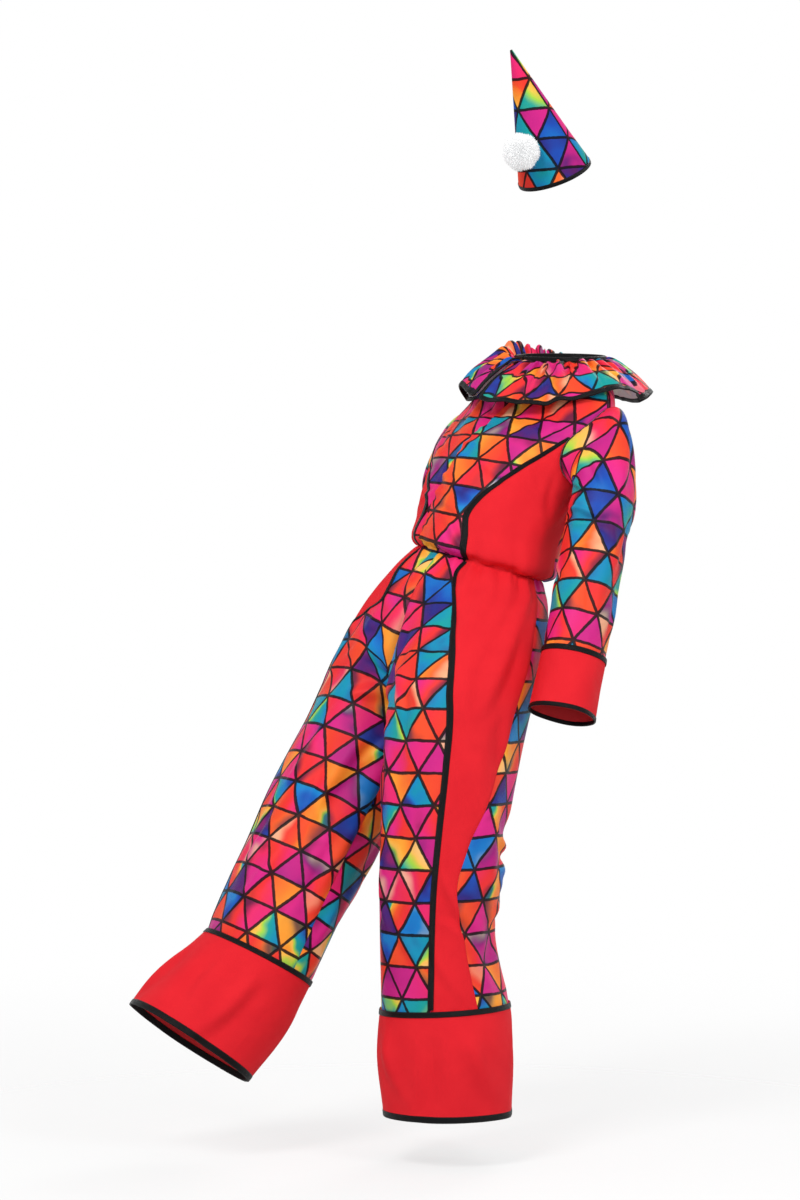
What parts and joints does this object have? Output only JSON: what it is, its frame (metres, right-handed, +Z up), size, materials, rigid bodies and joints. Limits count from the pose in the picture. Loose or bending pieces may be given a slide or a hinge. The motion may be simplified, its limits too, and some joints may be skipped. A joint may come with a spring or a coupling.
{
  "type": "clown costume",
  "caption": "Child's clown costume as worn in a kicking stance: wide-legged jumpsuit with a ruffled collar and deep cuffs, and its matching cone hat.",
  "frame": {"origin": "middle of the neck opening, where the suit is held by the wearer", "axes": "+Z is up, the wearer faces -Y and the wearer's left is +X"},
  "size_m": [0.5006, 0.7388, 1.4256],
  "materials": {
    "red_cloth": "fine plain-woven polyester, matte",
    "print_cloth": "fine woven polyester with a slight sheen, printed with a lattice of coloured triangles",
    "black_tape": "satin bias tape",
    "white_yarn": "fluffy yarn"
  },
  "bodies": {
    "root": {"bodice_back": "print_cloth", "bodice_front_left": "print_cloth", "bodice_front_right": "print_cloth", "bodice_side_left": "red_cloth", "bodice_side_right": "red_cloth", "bodice_tape_left": "black_tape", "bodice_tape_right": "black_tape", "collar_edge_binding": "black_tape", "collar_ruffle": "print_cloth", "hat_cone": "print_cloth", "hat_edge_binding": "black_tape", "neck_binding": "black_tape", "pompom": "white_yarn", "sleeve_cuff_left": "red_cloth", "sleeve_cuff_right": "red_cloth", "sleeve_cuff_tape_left": "black_tape", "sleeve_cuff_tape_right": "black_tape", "sleeve_hem_binding_left": "black_tape", "sleeve_hem_binding_right": "black_tape", "sleeve_left": "print_cloth", "sleeve_right": "print_cloth", "trouser_back_left": "print_cloth", "trouser_back_right": "print_cloth", "trouser_cuff_left": "red_cloth", "trouser_cuff_right": "red_cloth", "trouser_cuff_tape_left": "black_tape", "trouser_cuff_tape_right": "black_tape", "trouser_front_left": "print_cloth", "trouser_front_right": "print_cloth", "trouser_hem_binding_left": "black_tape", "trouser_hem_binding_right": "black_tape", "trouser_side_left": "red_cloth", "trouser_side_right": "red_cloth", "trouser_tape_left": "black_tape", "trouser_tape_right": "black_tape"}
  },
  "joints": []
}
